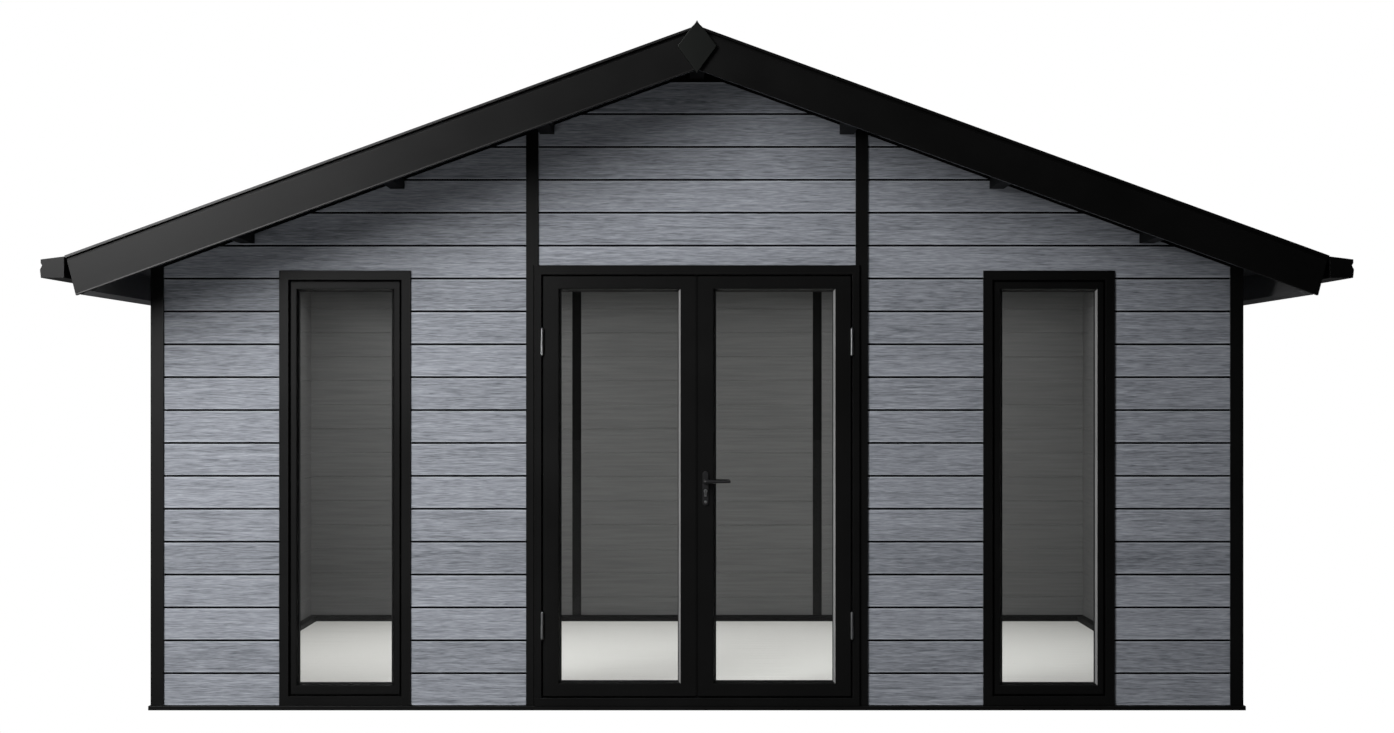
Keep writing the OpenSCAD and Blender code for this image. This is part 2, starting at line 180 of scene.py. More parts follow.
# Roof edges: the glossiest black, which takes the key light as a long fade down the left slope.
roof_coat = powder_coat("powder_coated_roof_trim_charcoal", "#060606", "#090909", 0.35)
# Purlins, ridge beam, gable trims, board joints, seals and the strips round the door frame:
# duller and darker than their own colour, painted shade so that what lies in shadow stays
# dark. The skirting takes it as plain matt black.
shadow_coat = powder_coat("matt_black_and_painted_shade", "#040404", "#060606", 0.6, shine=0.1)
# Finials: a breath of green sets the kite off from the barge boards.
finial_coat = powder_coat("painted_finial_dark_green", "#090b0a", "#0c0f0c", 0.4)
# Handle: a lighter graphite, so that the lever is seen against the leaf.
handle_coat = powder_coat("powder_coated_handle_graphite", "#1a1a1b", "#222223", 0.36, shine=0.4)
# Soffit: mid grey that goes dark in the shade, with the panel joints as fine lines.
soffit_coat = powder_coat("coated_soffit_panel_grey", "#6f6f70", "#777778", 0.5)
# Bead faces turned to the key light: painted highlight, one thin bright line beside a pane.
bead_highlight_coat = powder_coat("painted_highlight_bead_grey", "#808080", "#8c8c8c", 0.4)

# %% [markdown]
# ## Wood-polymer cladding
# The boards are wood-polymer composite, pressed from flour and resin and embossed with a grain.
# The emboss is stretched along the board: wavy streaks 6 mm high and 90 mm long, broader
# cathedral figure 16 mm high, and fine fibres 2.4 mm high. Every course takes its own offset, so
# that no two boards carry the same figure. Each board's edges carry a painted highlight strip.
# Height up the wall numbers the courses, and the sum of X and Y runs along a wall whichever way
# it faces. The room side is lined with the same boards, painted in a plain darker grey.

# %% Cladding material
board_pitch = 150 * MM
base_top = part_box("base_frame")[1].z
first_joint = base_top - 3 * MM


def cladding_material():
    """Outside boards: pale blue-grey streaks that glitter along the grain under a low light."""
    material, tree, shader = new_material("wood_polymer_cladding_slate")
    place = add(tree, "ShaderNodeTexCoord").outputs["Object"]
    split = add(tree, "ShaderNodeSeparateXYZ", inputs={"Vector": place})
    along = add(tree, "ShaderNodeMath", {"operation": "ADD"}, {
        0: split.outputs["X"], 1: split.outputs["Y"]})
    height = add(tree, "ShaderNodeMath", {"operation": "SUBTRACT"}, {
        0: split.outputs["Z"], 1: first_joint})
    share = add(tree, "ShaderNodeMath", {"operation": "DIVIDE"}, {
        0: height.outputs[0], 1: board_pitch})
    course = add(tree, "ShaderNodeMath", {"operation": "FLOOR"}, {0: share.outputs[0]})
    chance = add(tree, "ShaderNodeTexWhiteNoise", {"noise_dimensions": "1D"}, {
        "W": course.outputs[0]})
    shift = add(tree, "ShaderNodeMath", {"operation": "MULTIPLY_ADD"}, {
        0: chance.outputs["Value"], 1: 40.0, 2: along.outputs[0]})
    run = add(tree, "ShaderNodeCombineXYZ", inputs={
        "X": shift.outputs[0], "Y": chance.outputs["Value"], "Z": split.outputs["Z"]})
    layers = []
    for long, high, bend in ((420, 16, 1.2), (90, 6, 1.0), (50, 2.4, 0)):
        stretch = add(tree, "ShaderNodeMapping", inputs={
            "Vector": run.outputs[0], "Scale": (1 / (long * MM), 1, 1 / (high * MM))})
        layer = add(tree, "ShaderNodeTexNoise", inputs={
            "Vector": stretch.outputs[0], "Scale": 1, "Detail": 3, "Distortion": bend})
        layers.append(layer.outputs["Fac"])
    streaks = add(tree, "ShaderNodeMix", inputs={"Factor": 0.6, "A": layers[0], "B": layers[1]})
    grain = add(tree, "ShaderNodeMix", inputs={
        "Factor": 0.35, "A": streaks.outputs[0], "B": layers[2]})
    part = add(tree, "ShaderNodeMath", {"operation": "FRACT"}, {0: share.outputs[0]})
    off_middle = add(tree, "ShaderNodeMath", {"operation": "SUBTRACT"}, {
        0: part.outputs[0], 1: 0.5})
    from_middle = add(tree, "ShaderNodeMath", {"operation": "ABSOLUTE"}, {
        0: off_middle.outputs[0]})
    # Painted highlight: a paler strip along each board edge, beside the joints.
    joint_highlight = add(tree, "ShaderNodeMapRange", inputs={
        "Value": from_middle.outputs[0], "From Min": 0.41, "From Max": 0.47,
        "To Min": 0.0, "To Max": 0.12})
    own_tone = add(tree, "ShaderNodeMapRange", inputs={
        "Value": chance.outputs["Value"], "To Min": -0.03, "To Max": 0.03})
    own_grain = add(tree, "ShaderNodeMath", {"operation": "ADD"}, {
        0: grain.outputs[0], 1: own_tone.outputs[0]})
    tone = add(tree, "ShaderNodeMath", {"operation": "ADD"}, {
        0: own_grain.outputs[0], 1: joint_highlight.outputs["Result"]})
    bump = add(tree, "ShaderNodeBump", inputs={
        "Height": grain.outputs[0], "Strength": 0.8, "Distance": 2.5 * MM})
    paint(tree, shader, tone.outputs[0], "#43484f", "#b3b7c0")
    tree.links.new(bump.outputs["Normal"], shader.inputs["Normal"])
    shader.inputs["Roughness"].default_value = 0.62
    return material


def lining_material():
    """Room boards: flat mid grey, so that the room reads as a quiet shade behind the glass."""
    material, tree, shader = new_material("painted_lining_board_grey")
    place = add(tree, "ShaderNodeTexCoord").outputs["Object"]
    stretch = add(tree, "ShaderNodeMapping", inputs={
        "Vector": place, "Scale": (1 / (300 * MM), 1 / (300 * MM), 1 / (12 * MM))})
    grain = add(tree, "ShaderNodeTexNoise", inputs={
        "Vector": stretch.outputs[0], "Scale": 1, "Detail": 4})
    paint(tree, shader, grain.outputs["Fac"], "#545454", "#5f5f5f")
    shader.inputs["Roughness"].default_value = 0.7
    return material


cladding = cladding_material()
lining = lining_material()
print("courses start at", round(first_joint, 3), "m")

# %% [markdown]
# ## Glass, rubber, felt, floor and steel
# The panes are clear insulating glass: a smooth dielectric of index 1.5 with a trace of green.
# Light passes it without being bent, so rays from lamps take the clear branch of a mix. The
# gaskets are matt EPDM rubber, the roof is felt faced with mineral grit 1 mm across, the floor
# is pale oiled wood, and the hinges are brushed stainless steel.

# %% The other materials
def glass_material():
    """Panes: all but invisible, with a weak mirror image that tells the eye a pane is there."""
    material, tree, shader = new_material("clear_insulating_glass")
    shader.inputs["Base Color"].default_value = linear("#fafbfa")
    shader.inputs["Transmission Weight"].default_value = 1.0
    shader.inputs["Roughness"].default_value = 0.0
    shader.inputs["IOR"].default_value = 1.5
    path = add(tree, "ShaderNodeLightPath")
    soft = add(tree, "ShaderNodeMath", {"operation": "MAXIMUM"}, {
        0: path.outputs["Is Shadow Ray"], 1: path.outputs["Is Diffuse Ray"]})
    clear = add(tree, "ShaderNodeBsdfTransparent", inputs={"Color": linear("#f6f8f7")})
    mix = add(tree, "ShaderNodeMixShader", inputs={
        0: soft.outputs[0], 1: shader.outputs[0], 2: clear.outputs[0]})
    output = next(n for n in tree.nodes if n.type == "OUTPUT_MATERIAL")
    tree.links.new(mix.outputs[0], output.inputs["Surface"])
    return material


def rubber_material():
    """Gaskets: a dull black line that outlines each pane."""
    material, tree, shader = new_material("epdm_rubber_seal")
    place = add(tree, "ShaderNodeTexCoord").outputs["Object"]
    dust = add(tree, "ShaderNodeTexNoise", inputs={
        "Vector": place, "Scale": 1 / (60 * MM), "Detail": 4})
    paint(tree, shader, dust.outputs["Fac"], "#0d0d0e", "#151516")
    shader.inputs["Roughness"].default_value = 0.75
    return material


def felt_material():
    """Roof felt: a dry, sandy dark grey with cloudy patches and no shine."""
    material, tree, shader = new_material("mineral_faced_roofing_felt")
    place = add(tree, "ShaderNodeTexCoord").outputs["Object"]
    grit = add(tree, "ShaderNodeTexVoronoi", inputs={"Vector": place, "Scale": 1 / (3 * MM)})
    patches = add(tree, "ShaderNodeTexNoise", inputs={
        "Vector": place, "Scale": 1 / (500 * MM), "Detail": 5})
    tone = add(tree, "ShaderNodeMix", inputs={
        "Factor": 0.45, "A": patches.outputs["Fac"], "B": grit.outputs["Distance"]})
    bump = add(tree, "ShaderNodeBump", inputs={
        "Height": grit.outputs["Distance"], "Strength": 0.5, "Distance": 1 * MM})
    paint(tree, shader, tone.outputs[0], "#2c2e30", "#45484b")
    tree.links.new(bump.outputs["Normal"], shader.inputs["Normal"])
    shader.inputs["Roughness"].default_value = 0.9
    return material


def floor_material():
    """Floor: the palest surface, a bright band behind the lower glass."""
    material, tree, shader = new_material("oiled_pale_ash_floor")
    place = add(tree, "ShaderNodeTexCoord").outputs["Object"]
    stretch = add(tree, "ShaderNodeMapping", inputs={
        "Vector": place, "Scale": (1 / (600 * MM), 1 / (12 * MM), 1)})
    grain = add(tree, "ShaderNodeTexNoise", inputs={
        "Vector": stretch.outputs[0], "Scale": 1, "Detail": 5})
    bump = add(tree, "ShaderNodeBump", inputs={
        "Height": grain.outputs["Fac"], "Strength": 0.15, "Distance": 0.4 * MM})
    paint(tree, shader, grain.outputs["Fac"], "#d6d5d1", "#e3e2df")
    tree.links.new(bump.outputs["Normal"], shader.inputs["Normal"])
    shader.inputs["Roughness"].default_value = 0.5
    return material


def steel_material():
    """Hinges and lock: the only bright metal, small glints that mark where the doors work."""
    material, tree, shader = new_material("brushed_stainless_steel")
    place = add(tree, "ShaderNodeTexCoord").outputs["Object"]
    stretch = add(tree, "ShaderNodeMapping", inputs={
        "Vector": place, "Scale": (1 / (0.6 * MM), 1 / (0.6 * MM), 1 / (30 * MM))})
    brush = add(tree, "ShaderNodeTexNoise", inputs={
        "Vector": stretch.outputs[0], "Scale": 1, "Detail": 2})
    gloss = add(tree, "ShaderNodeMapRange", inputs={
        "Value": brush.outputs["Fac"], "To Min": 0.22, "To Max": 0.38})
    paint(tree, shader, brush.outputs["Fac"], "#b4b5b6", "#cfd0d1")
    tree.links.new(gloss.outputs["Result"], shader.inputs["Roughness"])
    shader.inputs["Metallic"].default_value = 1.0
    return material


glass = glass_material()
rubber = rubber_material()
felt = felt_material()
pale_floor = floor_material()
steel = steel_material()
print(len(bpy.data.materials), "materials")

# %% [markdown]
# ## Making and finishing pieces
# Every piece is a mesh whose object sits at the origin. Modifiers are evaluated once and
# written into the mesh, so that the piece is plain when it is attached to its CAD body. A
# repeating piece runs through one Geometry Nodes tree: its own mesh is placed on the points of
# a line, the instances are made real, and the material is set.

# %% Piece helpers
def object_from(name, mesh, material):
    piece = bpy.data.objects.new(name, mesh)
    scene.collection.objects.link(piece)
    mesh.materials.clear()
    mesh.materials.append(material)
    return piece


def mesh_from(name, builder):
    shape = bmesh.new()
    builder(shape)
    bmesh.ops.recalc_face_normals(shape, faces=shape.faces)
    mesh = bpy.data.meshes.new(name)
    shape.to_mesh(mesh)
    shape.free()
    return mesh


def finish_mesh(piece):
    graph = bpy.context.evaluated_depsgraph_get()
    mesh = bpy.data.meshes.new_from_object(piece.evaluated_get(graph))
    piece.modifiers.clear()
    piece.data = mesh
    return piece


def merged_copy(node_name, name, material):
    mesh = nodes[node_name].data.copy()
    shape = bmesh.new()
    shape.from_mesh(mesh)
    bmesh.ops.remove_doubles(shape, verts=shape.verts, dist=0.02 * MM)
    bmesh.ops.dissolve_limit(
        shape, angle_limit=math.radians(1), verts=shape.verts, edges=shape.edges)
    shape.to_mesh(mesh)
    shape.free()
    mesh.polygons.foreach_set("use_smooth", [False] * len(mesh.polygons))
    return object_from(name, mesh, material)


def attach(piece, body, material_slot, *replaced):
    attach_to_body(piece, body)
    if replaced:
        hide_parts(*replaced)
    return piece


def box_mesh(shape, low, high):
    centre = (Vector(low) + Vector(high)) / 2
    size = Vector(high) - Vector(low)
    matrix = Matrix.Translation(centre) @ Matrix.Diagonal((*size, 1))
    return bmesh.ops.create_cube(shape, size=1, matrix=matrix)["verts"]


def loft(shape, rings, closed=False):
    """Rings of points joined into a solid: capped at both ends, or closed into a loop."""
    loops = [[shape.verts.new(point) for point in ring] for ring in rings]
    if closed:
        loops.append(loops[0])
    else:
        shape.faces.new(loops[0])
        shape.faces.new(loops[-1])
    for near, far in zip(loops, loops[1:]):
        for i in range(len(near)):
            j = (i + 1) % len(near)
            shape.faces.new((near[i], near[j], far[j], far[i]))


def outline_prism(shape, outline, axis, start, end):
    """A closed outline of (a, z) points made solid along axis 0 (X) or 1 (Y)."""
    loft(shape, [[(depth, a, z) if axis == 0 else (a, depth, z) for a, z in outline]
                 for depth in (start, end)])


def prism(name, outline, axis, start, end, material):
    mesh = mesh_from(name, lambda shape: outline_prism(shape, outline, axis, start, end))
    return object_from(name, mesh, material)


def block(name, low, high, material):
    return object_from(name, mesh_from(name, lambda shape: box_mesh(shape, low, high)), material)


def islands(node_name):
    """The (lowest, highest) corners of each separate solid in a CAD node."""
    shape = bmesh.new()
    shape.from_mesh(nodes[node_name].data)
    bmesh.ops.remove_doubles(shape, verts=shape.verts, dist=0.02 * MM)
    left, found = set(shape.verts), []
    while left:
        reach, queue = set(), [left.pop()]
        while queue:
            vertex = queue.pop()
            reach.add(vertex)
            near = [edge.other_vert(vertex) for edge in vertex.link_edges]
            queue += [v for v in near if v in left]
            left -= set(near)
        places = [v.co for v in reach]
        found.append((Vector([min(p[i] for p in places) for i in range(3)]),
                      Vector([max(p[i] for p in places) for i in range(3)])))
    shape.free()
    return sorted(found, key=lambda corners: tuple(corners[0]))


def repeat_tree():
    tree = bpy.data.node_groups.new("Repeat along a line", "GeometryNodeTree")
    for label, way, kind in (
            ("Geometry", "INPUT", "NodeSocketGeometry"), ("Count", "INPUT", "NodeSocketInt"),
            ("Step", "INPUT", "NodeSocketVector"), ("Finish", "INPUT", "NodeSocketMaterial"),
            ("Geometry", "OUTPUT", "NodeSocketGeometry")):
        tree.interface.new_socket(label, in_out=way, socket_type=kind)
    given = add(tree, "NodeGroupInput")
    line = add(tree, "GeometryNodeMeshLine", {"mode": "OFFSET"}, {
        "Count": given.outputs["Count"], "Offset": given.outputs["Step"]})
    placed = add(tree, "GeometryNodeInstanceOnPoints", inputs={
        "Points": line.outputs[0], "Instance": given.outputs["Geometry"]})
    real = add(tree, "GeometryNodeRealizeInstances", inputs={"Geometry": placed.outputs[0]})
    coated = add(tree, "GeometryNodeSetMaterial", inputs={
        "Geometry": real.outputs[0], "Material": given.outputs["Finish"]})
    add(tree, "NodeGroupOutput", inputs={"Geometry": coated.outputs[0]})
    return tree


repeat_along = repeat_tree()


def repeated(piece, count, step, material):
    modifier = piece.modifiers.new("repeat", "NODES")
    modifier.node_group = repeat_along
    values = {"Count": count, "Step": step, "Finish": material}
    for socket in repeat_along.interface.items_tree:
        if socket.in_out == "INPUT" and socket.name in values:
            modifier[socket.identifier] = values[socket.name]
    return finish_mesh(piece)


print("repeat tree has", len(repeat_along.nodes), "nodes")

# %% [markdown]
# ## Board cladding
# Each course is one board through the wall. Outside, two boards meet in a square groove 9 mm
# wide and 18 mm deep with a hair of radius on its edges, the shadow joint that a tongue and
# groove board leaves; inside, the lining boards meet in a small V. A wall is a stack of such
# boards from the ground up, cut to the CAD wall's outline by an exact boolean: that one cut
# makes the gable slopes, the window opening and the notches round the purlins. The faces
# turned to the room take the lining's darker paint, and the groove faces get painted shade.

# %% Board courses
GROOVE = 9 * MM
GROOVE_DEPTH = 18 * MM
LINING_V = 2 * MM
SKIN = 0.2 * MM
TIGHT = 0.2 * MM
OVERRUN = 10 * MM


def board_outline(outer, inner, foot):
    """The section of one course, from the wall's outer face to its room face."""
    inward = 1 if inner > outer else -1
    low, high = foot + GROOVE / 2, foot + board_pitch - GROOVE / 2
    ease = 1 * MM
    groove, bevel = outer + inward * GROOVE_DEPTH, inner - inward * LINING_V
    head = foot + board_pitch
    return [(outer, low + ease), (outer + inward * ease, low), (groove, low),
            (groove, foot + TIGHT), (bevel, foot + TIGHT), (inner, foot + LINING_V),
            (inner, head - LINING_V), (bevel, head - TIGHT), (groove, head - TIGHT),
            (groove, high), (outer + inward * ease, high), (outer, high - ease)]


def boarded_wall(node_name):
    low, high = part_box(node_name)
    axis = 0 if high.x - low.x > high.y - low.y else 1
    thick = 1 - axis
    faces = sorted((low[thick] + SKIN, high[thick] - SKIN), key=abs)
    outline = board_outline(faces[1], faces[0], first_joint)
    reach = (low[axis] - OVERRUN, high[axis] + OVERRUN)
    wall = prism("boards_" + node_name, outline, axis, *reach, cladding)
    courses = math.ceil((high.z - first_joint) / board_pitch) + 1
    repeated(wall, courses, (0, 0, board_pitch), cladding)
    cutter = merged_copy(node_name, "cutter", cladding)
    cut = wall.modifiers.new("cut", "BOOLEAN")
    cut.operation = "INTERSECT"
    cut.solver = "EXACT"
    cut.object = cutter
    finish_mesh(wall)
    bpy.data.objects.remove(cutter)
    wall.data.materials.append(lining)
    wall.data.materials.append(shadow_coat)
    for polygon in wall.data.polygons:
        place, facing = abs(polygon.center[thick]), abs(polygon.normal[thick])
        depth = abs(faces[1]) - place
        to_room = place < abs(faces[0]) + LINING_V and facing > 0.5
        # Faces inside a groove take the dark coat (index 2): painted shade in the joints.
        in_joint = 1.5 * MM < depth < GROOVE_DEPTH + 1 * MM
        polygon.material_index = 1 if to_room else 2 if in_joint else 0
    return attach(wall, "building", "cladding", node_name)


WALLS = ("front_wall_left", "front_wall_right", "front_gable_wall", "rear_wall_left",
         "rear_wall_middle", "rear_wall_right", "left_wall", "right_wall")
for wall_name in WALLS:
    wall = boarded_wall(wall_name)
    print(wall.name, len(wall.data.polygons), "faces")

# %% [markdown]
# ## Metal frame, trims and roof edges
# Folded and extruded aluminium has no sharp edges: a press leaves about 1.5 mm of radius, which
# catches a thin line of light; the planed timbers at the eaves are rounded alike. These parts
# keep their CAD shape, so each is a merged copy with a narrow two-step bevel.

# %% Eased metal parts
def soften(piece, radius):
    bevel = piece.modifiers.new("edge", "BEVEL")
    bevel.width = radius
    bevel.segments = 2
    bevel.limit_method = "ANGLE"
    bevel.angle_limit = math.radians(30)
    bevel.harden_normals = True
    return finish_mesh(piece)


def eased(node_name, material, material_slot, radius, body="building"):
    piece = soften(merged_copy(node_name, "eased_" + node_name, material), radius)
    return attach(piece, body, material_slot, node_name)


FRAME_PARTS = ("base_frame", "corner_posts", "gable_posts", "side_posts")
EAVES_PARTS = ("gable_trims", "ridge_beam", "purlins")
JOINERY_PARTS = ("door_frame", "door_threshold")
PRESS_RADIUS = 1.5 * MM
for part in FRAME_PARTS:
    eased(part, frame_coat, "frame_metal", PRESS_RADIUS)
# The purlins, ridge beam and gable trims take the duller dark coat: painted shade under the roof.
for part in EAVES_PARTS:
    eased(part, shadow_coat, "frame_metal", PRESS_RADIUS)
eased("ridge_cap", roof_coat, "roof_metal", PRESS_RADIUS)
fascias = eased("eave_fascias", roof_coat, "roof_metal", PRESS_RADIUS)
# The faces turned in take the soffit grey; on the underside that grey is a painted highlight, a
# light line along the fascia's foot.
fascias.data.materials.append(soffit_coat)
for polygon in fascias.data.polygons:
    inward = polygon.normal.x * polygon.center.x < 0 or polygon.normal.z < -0.6
    polygon.material_index = int(inward)
for part in JOINERY_PARTS:
    eased(part, joinery_coat, "joinery_metal", PRESS_RADIUS)
print(len(FRAME_PARTS + EAVES_PARTS + JOINERY_PARTS) + 2, "eased parts")

# %% [markdown]
# ## Shadow lines round the door frame
# A black strip stands in for the shadow in the joint between the door frame's flange and the
# gable posts: painted shade. It is a three-sided strip 6 mm wide, pressed against the flange, and
# shows as a fine dark line.

# %% Door frame shadow lines
SHADOW_LINE_W = 6 * MM
flange_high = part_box("door_frame")[1]
post_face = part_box("gable_posts")[0].y


def shadow_line_strips(shape):
    for side in (-1, 1):
        edges = sorted((side * flange_high.x, side * (flange_high.x + SHADOW_LINE_W)))
        outline = [(edges[0], post_face), (edges[1], post_face),
                   (side * flange_high.x, post_face - SHADOW_LINE_W)]
        loft(shape, [[(x, y, z) for x, y in outline] for z in (base_top, flange_high.z)])


shadow_line = object_from("door_frame_shadow_line", mesh_from("shadow_line", shadow_line_strips), shadow_coat)
attach(shadow_line, "building", "joinery_metal")
print("sealant strips", round(flange_high.z - base_top, 3), "m high")

# %% [markdown]
# ## Roof panels and felt
# Each slope is made of insulated panels about a metre wide, side by side along the building;
# their joints show as fine lines on the soffit. Above them lie strips of felt that run along
# the building, each lapping the one below, so the slope is a very shallow sawtooth. Both are
# repeated by the same tree, one along the ridge and the other down the slope.

# %% Roof panels and felt strips
ridge_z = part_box("verge_trims")[1].z
eave_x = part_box("verge_trims")[1].x
pitch = math.radians(20)
print("pitch, degrees:", round(math.degrees(pitch), 2))


def slope_point(along, depth, side):
    """(x, z) of a point so far down a slope from the ridge and so deep under its top."""
    x = along * math.cos(pitch) - depth * math.sin(pitch)
    return side * x, ridge_z - along * math.sin(pitch) - depth * math.cos(pitch)


PANELS = 5
PANEL_T = 31 * MM
PANEL_JOINT = 2 * MM
STRIPS = 4
COVER_TOP = 4 * MM
COVER_FOOT = 16 * MM
STRIP_SINK = 2 * MM
LAP_STEP = 3 * MM
eave_along = eave_x / math.cos(pitch)

for side, side_name in ((-1, "left"), (1, "right")):
    panel_low, panel_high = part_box("roof_panel_" + side_name)
    width = (panel_high.y - panel_low.y) / PANELS
    panel_end, panel_foot = eave_along - COVER_FOOT, COVER_FOOT + PANEL_T
    section = [slope_point(COVER_FOOT * math.tan(pitch), COVER_FOOT, side),
               slope_point(panel_end, COVER_FOOT, side),
               slope_point(panel_end, panel_foot, side),
               slope_point(panel_foot * math.tan(pitch), panel_foot, side)]
    panel = prism("soffit_panels_" + side_name, section, 1, panel_low.y + PANEL_JOINT / 2,
                  panel_low.y + width - PANEL_JOINT / 2, soffit_coat)
    repeated(panel, PANELS, (0, width, 0), soffit_coat)
    attach(panel, "building", "soffit", "roof_panel_" + side_name)

    start = COVER_FOOT * math.tan(pitch)
    step = (eave_along - start) / STRIPS
    strip_top = COVER_TOP + STRIP_SINK
    section = [slope_point(start, COVER_FOOT, side),
               slope_point(start, strip_top + LAP_STEP, side),
               slope_point(start + step, strip_top, side),
               slope_point(start + step, COVER_FOOT, side)]
    cover_low, cover_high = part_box("roof_covering_" + side_name)
    strips = prism("felt_strips_" + side_name, section, 1, cover_low.y, cover_high.y, felt)
    down = (side * step * math.cos(pitch), 0, -step * math.sin(pitch))
    repeated(strips, STRIPS, down, felt)
    attach(strips, "building", "felt", "roof_covering_" + side_name)

# %% [markdown]
# ## Verge trims and barge boards
# Along each gable edge runs a folded trim: a front lip 11 mm high, and behind it a leg that
# turns down and closes the back of the shadow gap. The barge board hangs below the gap, with a
# shallow drip along its foot. Both are one section carried down the slope from a plumb mitre at
# the ridge; the barge board's foot is cut back less than square, to meet the gutter.

# %% Verge trims and barge boards
def slope_run(shape, section, side, end_along):
    """A section of (y, depth) points carried down one slope from the ridge mitre."""
    rings = []
    for reach in (lambda depth: depth * math.tan(pitch), end_along):
        points = [(slope_point(reach(depth), depth, side), y) for y, depth in section]
        rings.append([(x, y, z) for (x, z), y in points])
    loft(shape, rings)


verge_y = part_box("verge_trims")[1].y
barge_depth = 181 * MM
BARGE_SHORT = 6 * MM
BARGE_RAKE = 18 * MM
FOLD_RADIUS = 1.2 * MM
TRIM_SECTION = ((40, 0), (1.5, 0), (0, 11), (18, 11), (18, 27), (24, 27), (24, 16), (40, 16))
BARGE_SECTION = ((25, 27), (0, 27), (0, 174), (-0.6, 179), (-0.6, 181), (25, 181))


def trim_end(depth):
    return eave_along


def barge_end(depth):
    return eave_along - BARGE_SHORT + BARGE_RAKE * depth / barge_depth


for side, side_name in ((-1, "left"), (1, "right")):
    for end, end_name in ((-1, "front"), (1, "rear")):
        for part, section, reach, node_name in (
                ("verge_trim", TRIM_SECTION, trim_end, "verge_trims"),
                ("barge_board", BARGE_SECTION, barge_end, "barge_boards_" + side_name)):
            placed = [(end * (verge_y - inset * MM), depth * MM) for inset, depth in section]
            mesh = mesh_from(part, lambda shape: slope_run(shape, placed, side, reach))
            piece = object_from(f"{part}_{end_name}_{side_name}", mesh, roof_coat)
            attach(soften(piece, FOLD_RADIUS), "building", "roof_metal", node_name)
print("barge boards end", round(barge_end(barge_depth), 3), "m down the slope")

# %% [markdown]
# ## Floor boards
# The deck shows through the doors as a pale floor. Its boards run across the room, so one board
# is made with softened edges and stepped from the front wall to the back.

# %% Floor
deck_low, deck_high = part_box("floor_deck")
FLOOR_BOARDS = 32
FLOOR_EASE = 1 * MM
floor_step = (deck_high.y - deck_low.y) / FLOOR_BOARDS


def floor_board(shape):
    box_mesh(shape, deck_low, (deck_high.x, deck_low.y + floor_step - FLOOR_EASE, deck_high.z))
    bmesh.ops.bevel(shape, geom=shape.edges[:], offset=FLOOR_EASE, segments=1, affect="EDGES")


floor = object_from("floor_boards", mesh_from("floor_board", floor_board), pale_floor)
repeated(floor, FLOOR_BOARDS, (0, floor_step, 0), pale_floor)
attach(floor, "building", "deck", "floor_deck")
print("floor boards", round(floor_step / MM), "mm wide")

# %% [markdown]
# ## Skirting
# A dark cable skirting 36 mm high and 40 mm deep covers the joint of floor and lining. It is one
# small section with a sloping top, run along the four walls and left out at the doorway.

# %% Skirting
SKIRTING_H = 36 * MM
SKIRTING_T = 40 * MM


def skirting_section(wall_at, inward):
    foot, top, face = deck_high.z, deck_high.z + SKIRTING_H, wall_at + inward * SKIRTING_T
    return [(wall_at, foot), (wall_at, top), (wall_at + inward * 4 * MM, top),
            (face, top - 5 * MM), (face, foot)]


door_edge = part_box("door_threshold")[1].x
past = SKIRTING_T
SKIRTING_RUNS = (("rear", 0, deck_high.y, -1, deck_low.x, deck_high.x),
                 ("left", 1, deck_low.x, 1, deck_low.y, deck_high.y - past),
                 ("right", 1, deck_high.x, -1, deck_low.y, deck_high.y - past),
                 ("front_left", 0, deck_low.y, 1, deck_low.x + past, -door_edge),
                 ("front_right", 0, deck_low.y, 1, door_edge, deck_high.x - past))
for name, axis, wall_at, inward, start, end in SKIRTING_RUNS:
    section = skirting_section(wall_at, inward)
    skirting = prism("skirting_" + name, section, axis, start, end, shadow_coat)
    attach(skirting, "building", "frame_metal")
print(len(SKIRTING_RUNS), "lengths of skirting")

# %% [markdown]
# ## Windows and door leaves
# Window frames, sashes and leaves are extruded profiles cut at 45 degrees and crimped at the
# corners. A ring of that kind is one section carried round a rectangle: each point of the
# section says whether it is measured from the outer or the inner rectangle, how far from it,
# and how deep it lies. The same ring makes the sloping glazing bead and its rubber gasket. On
# the right bead of a pane, the face turned to the key light is grey, a painted highlight.

# %% Mitred rings
OUTER, INNER = 0, 1


def mitred_ring(name, outer, inner, front, section, material):
    """outer and inner are (x0, z0, x1, z1); a section point is (edge, mm inwards, mm deep)."""
    rings = []
    for edge, inset, depth in section:
        x0, z0, x1, z1 = inner if edge == INNER else outer
        i, y = inset * MM, front + depth * MM
        rings.append([(x0 + i, y, z0 + i), (x1 - i, y, z0 + i),
                      (x1 - i, y, z1 - i), (x0 + i, y, z1 - i)])
    mesh = mesh_from(name, lambda shape: loft(shape, rings, closed=True))
    return object_from(name, mesh, material)


def face_of(corners):
    return corners[0].x, corners[0].z, corners[1].x, corners[1].z


FRAME_SECTION = [
    (OUTER, 0, 2), (OUTER, 1.5, 0), (INNER, -1.5, 0), (INNER, 0, 1.5), (INNER, 0, 80),
    (OUTER, 0, 80)]
SASH_SECTION = [
    (OUTER, 0, 22), (OUTER, 8, 22), (OUTER, 8, 1.5), (OUTER, 9.5, 0), (INNER, -1.5, 0),
    (INNER, 0, 1.5), (INNER, 0, 58.5), (INNER, -1.5, 60), (OUTER, 1.5, 60), (OUTER, 0, 58.5)]
LEAF_SECTION = [
    (OUTER, 0, 1.5), (OUTER, 1.5, 0), (INNER, -1.5, 0), (INNER, 0, 1.5), (INNER, 0, 58.5),
    (INNER, -1.5, 60), (OUTER, 4.5, 60), (OUTER, 3, 58.5)]
BEAD_SECTION = [
    (INNER, 0, 1), (INNER, 0, 17.8), (INNER, 10, 17.8), (INNER, 10, 16.8), (INNER, 1, 1)]
GASKET_SECTION = [
    (INNER, 10.2, 15.5), (INNER, 10.2, 17.9), (INNER, 13.5, 17.9), (INNER, 12.6, 16)]
